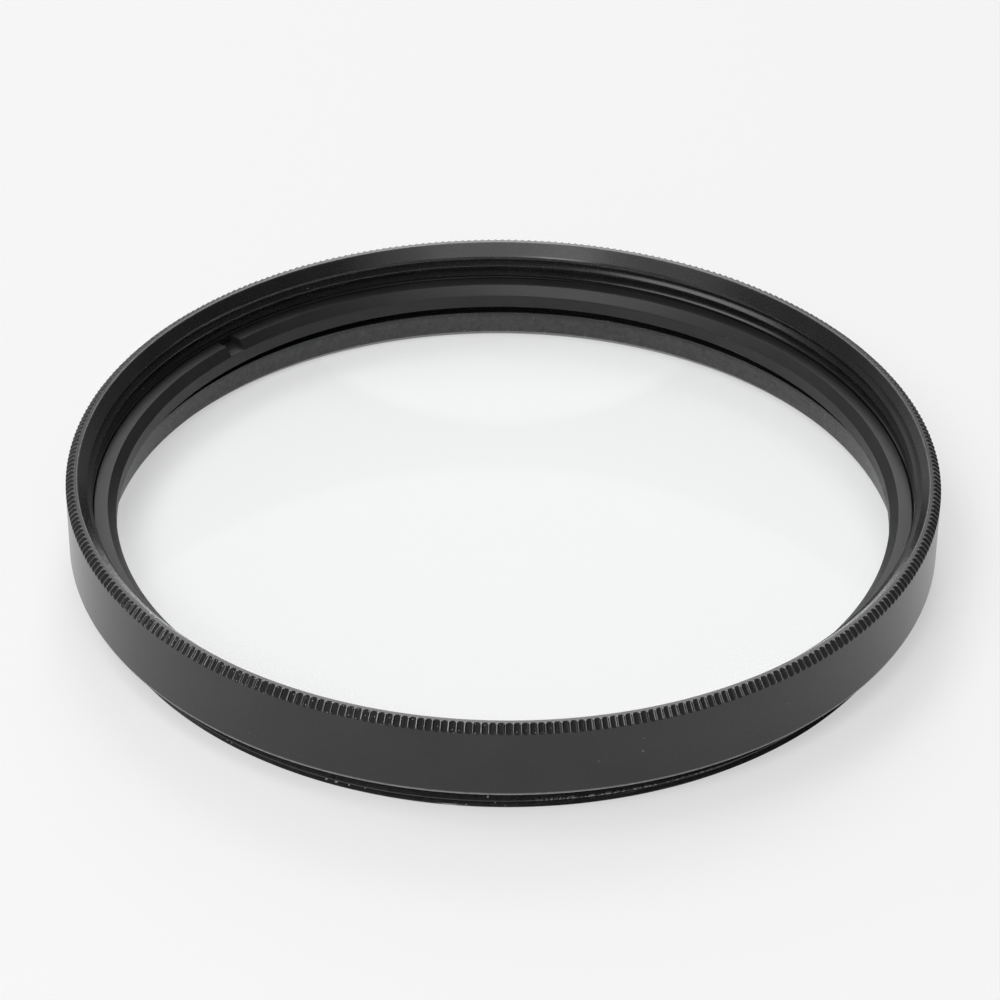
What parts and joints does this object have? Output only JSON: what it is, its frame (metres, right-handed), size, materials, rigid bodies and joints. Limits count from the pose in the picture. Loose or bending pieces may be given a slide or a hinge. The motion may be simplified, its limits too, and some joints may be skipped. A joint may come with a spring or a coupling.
{
  "type": "screw-in lens filter",
  "caption": "Clear round lens filter: a knurled black threaded ring holding a plane glass disc, which screws onto the front of a camera lens.",
  "frame": {"origin": "centre of the rear face, on the surface that the filter lies on", "axes": "+Z along the optical axis, from the rear male thread towards the front female thread"},
  "size_m": [0.0544, 0.0544, 0.0069],
  "materials": {
    "black_anodised_frame": "satin black anodised, worn bright at the thread",
    "clear_glass": "clear, polished and coated",
    "black_anodised_ring": "satin black anodised"
  },
  "bodies": {
    "root": {"filter_frame": "black_anodised_frame", "filter_glass": "clear_glass", "retaining_ring": "black_anodised_ring"}
  },
  "joints": []
}
